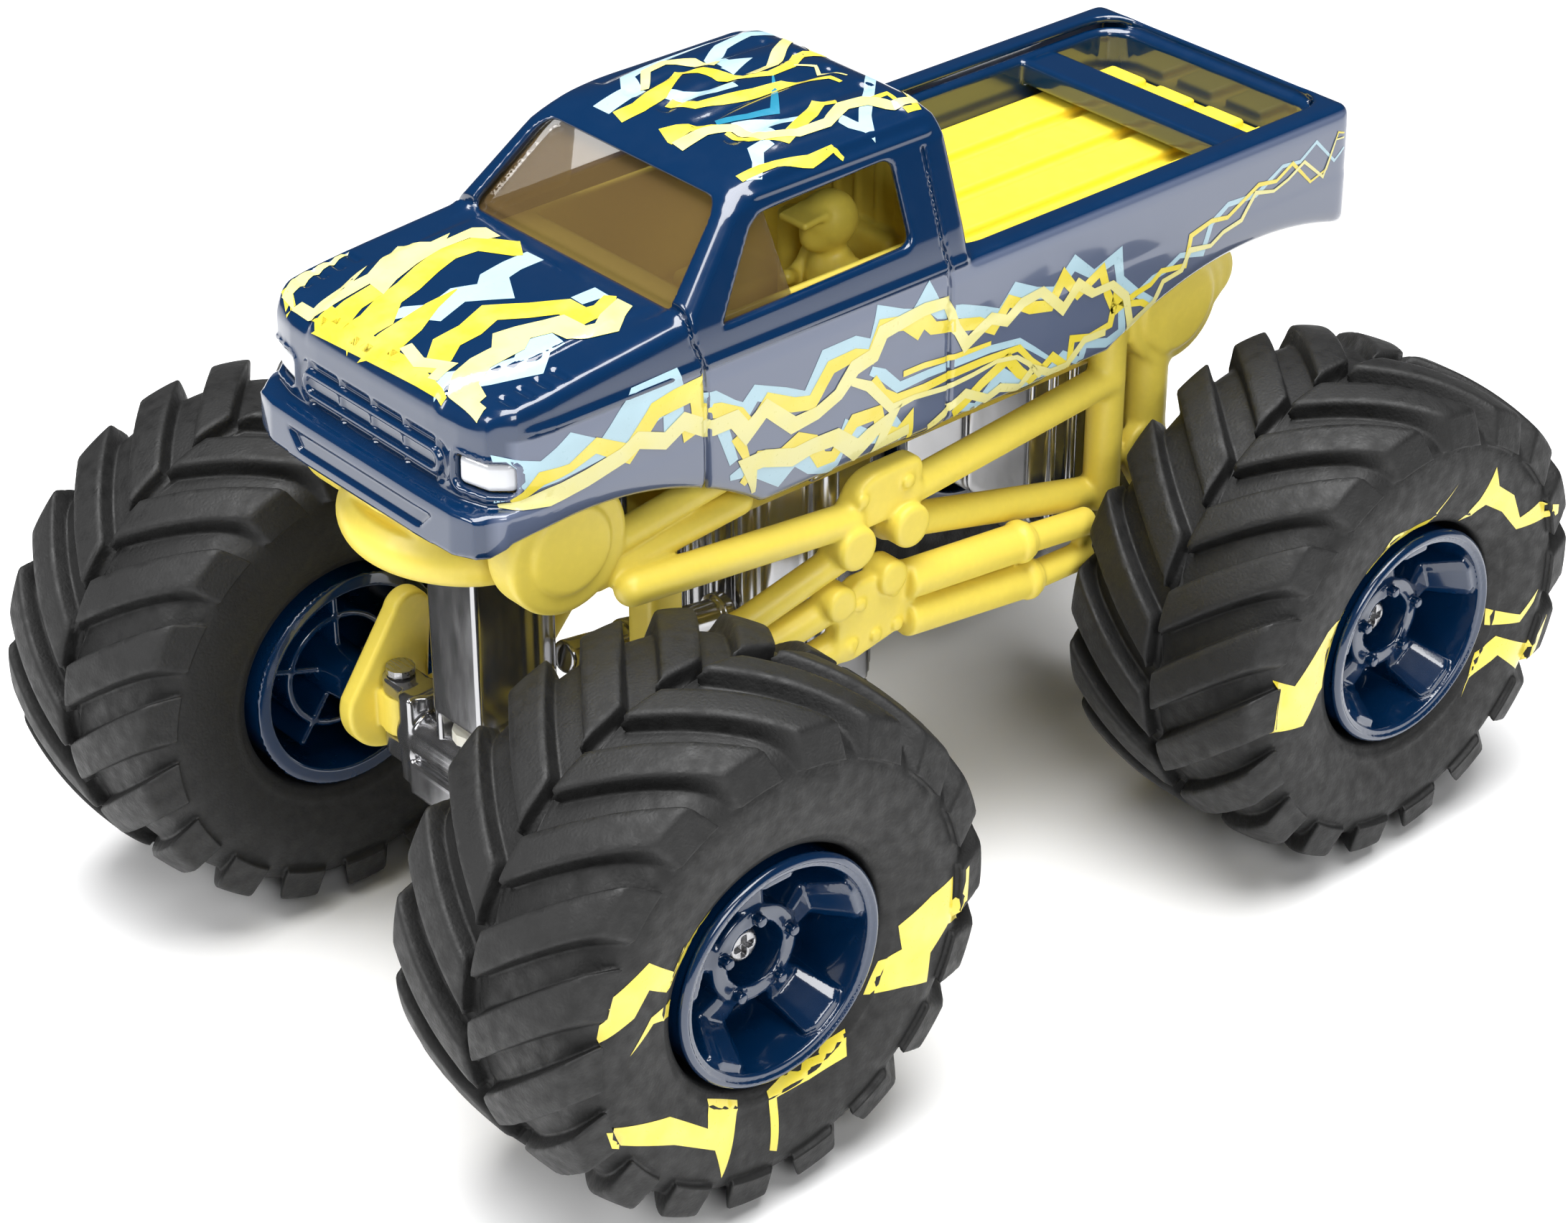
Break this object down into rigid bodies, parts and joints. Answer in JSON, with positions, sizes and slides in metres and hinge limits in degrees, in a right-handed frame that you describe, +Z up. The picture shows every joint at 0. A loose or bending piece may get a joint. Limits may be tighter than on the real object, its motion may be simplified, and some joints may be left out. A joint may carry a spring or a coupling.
{
  "type": "rc monster truck",
  "caption": "Radio-controlled toy monster truck: pickup body with open bed on a tubular off-road chassis, tall chevron-tread tyres, steered front wheels, geared rear axle.",
  "frame": {"origin": "on the ground, halfway between the axles, on the centre line", "axes": "+Z up, -Y forward, +X to the left side of the truck"},
  "size_m": [0.1536, 0.234, 0.1484],
  "materials": {
    "navy_body": "glossy dark navy moulded plastic with printed lightning bolts",
    "navy_rim": "glossy dark navy moulded plastic",
    "yellow_plastic": "satin pale yellow moulded plastic",
    "bright_yellow_plastic": "satin bright yellow moulded plastic",
    "driver_plastic": "satin yellow moulded plastic",
    "smoke_glass": "clear smoked glazing",
    "lamp_white": "silver white lamp face",
    "plated_trim": "satin vacuum plated plastic",
    "steel": "turned steel",
    "brass": "bright brass",
    "black_plastic": "fine grained black plastic",
    "white_plastic": "natural acetal",
    "board": "green solder resist",
    "cell_wrap": "printed foil wrap",
    "tyre_rubber": "matte black rubber with a leather grain"
  },
  "bodies": {
    "chassis": {"body_shell": "navy_body", "windshield": "smoke_glass", "headlight_left": "lamp_white", "headlight_right": "lamp_white", "interior_tray": "yellow_plastic", "driver_figure": "driver_plastic", "bed_floor": "bright_yellow_plastic", "chassis_deck": "yellow_plastic", "side_frame_left": "yellow_plastic", "side_frame_right": "yellow_plastic", "link_set_left": "yellow_plastic", "link_set_right": "yellow_plastic", "front_bumper": "yellow_plastic", "exhaust_pipe_left": "plated_trim", "exhaust_pipe_right": "plated_trim", "drive_shaft": "plated_trim", "front_housing": "plated_trim", "front_axle_beam": "plated_trim", "kingpin_left": "steel", "kingpin_right": "steel", "steering_servo": "black_plastic", "gearbox_left": "plated_trim", "gearbox_right": "plated_trim", "drive_motor": "steel", "battery_case": "plated_trim", "battery_cell_1": "cell_wrap", "battery_cell_2": "cell_wrap", "battery_cell_3": "cell_wrap", "battery_cell_4": "cell_wrap", "battery_contacts": "brass", "circuit_board": "board", "body_screw_1": "steel", "body_screw_2": "steel", "body_screw_3": "steel", "body_screw_4": "steel"},
    "front_left_knuckle": {"knuckle_left": "yellow_plastic", "spindle_left": "steel"},
    "front_right_knuckle": {"knuckle_right": "yellow_plastic", "spindle_right": "steel"},
    "front_left_wheel": {"tyre_front_left": "tyre_rubber", "rim_front_left": "navy_rim", "wheel_screw_front_left": "steel"},
    "front_right_wheel": {"tyre_front_right": "tyre_rubber", "rim_front_right": "navy_rim", "wheel_screw_front_right": "steel"},
    "steering_link": {"tie_rod": "black_plastic"},
    "steering_horn": {"servo_arm": "white_plastic"},
    "rear_axle": {"rear_axle_shaft": "steel", "axle_gear": "white_plastic", "tyre_rear_left": "tyre_rubber", "rim_rear_left": "navy_rim", "wheel_screw_rear_left": "steel", "tyre_rear_right": "tyre_rubber", "rim_rear_right": "navy_rim", "wheel_screw_rear_right": "steel"},
    "idler": {"idler_gear": "white_plastic"},
    "pinion": {"motor_pinion": "brass"},
    "battery_cover": {"battery_door": "black_plastic", "battery_door_screw": "steel"},
    "power_switch": {"switch_slider": "black_plastic"}
  },
  "joints": [
    {"name": "steer_left", "type": "hinge", "parent": "chassis", "child": "front_left_knuckle", "pos_m": [0.02, -0.0725, 0.045], "axis": [0, 0, 1], "range_deg": [-9, 9]},
    {"name": "steer_right", "type": "hinge", "parent": "chassis", "child": "front_right_knuckle", "pos_m": [-0.02, -0.0725, 0.045], "axis": [0, 0, 1], "range_deg": [-9, 9]},
    {"name": "servo_horn_turn", "type": "hinge", "parent": "chassis", "child": "steering_horn", "pos_m": [0, -0.0725, 0.05], "axis": [0, 0, 1], "range_deg": [-9, 9]},
    {"name": "tie_rod_slide", "type": "slide", "parent": "chassis", "child": "steering_link", "axis": [1, 0, 0], "range_m": [-0.0022, 0.0022]},
    {"name": "front_left_spin", "type": "hinge", "parent": "front_left_knuckle", "child": "front_left_wheel", "pos_m": [0.0552, -0.0725, 0.0445], "axis": [1, 0, 0], "continuous": true},
    {"name": "front_right_spin", "type": "hinge", "parent": "front_right_knuckle", "child": "front_right_wheel", "pos_m": [-0.0552, -0.0725, 0.0445], "axis": [1, 0, 0], "continuous": true},
    {"name": "rear_axle_spin", "type": "hinge", "parent": "chassis", "child": "rear_axle", "pos_m": [0, 0.0725, 0.0445], "axis": [1, 0, 0], "continuous": true},
    {"name": "idler_spin", "type": "hinge", "parent": "chassis", "child": "idler", "pos_m": [0, 0.06239, 0.05298], "axis": [1, 0, 0], "continuous": true},
    {"name": "pinion_spin", "type": "hinge", "parent": "chassis", "child": "pinion", "pos_m": [0, 0.05468, 0.06218], "axis": [1, 0, 0], "continuous": true},
    {"name": "battery_door_hinge", "type": "hinge", "parent": "chassis", "child": "battery_cover", "pos_m": [0, 0.0026, 0.0336], "axis": [1, 0, 0], "range_deg": [0, 85]},
    {"name": "power_switch_slide", "type": "slide", "parent": "chassis", "child": "power_switch", "axis": [0, 1, 0], "range_m": [0, 0.003]}
  ],
  "couplings": [
    {"joint": "steer_right", "follows": "steer_left", "ratio": 1},
    {"joint": "servo_horn_turn", "follows": "steer_left", "ratio": 1},
    {"joint": "tie_rod_slide", "follows": "steer_left", "m_per_rad": -0.01245},
    {"joint": "idler_spin", "follows": "rear_axle_spin", "ratio": -2.6667},
    {"joint": "pinion_spin", "follows": "rear_axle_spin", "ratio": 8}
  ]
}
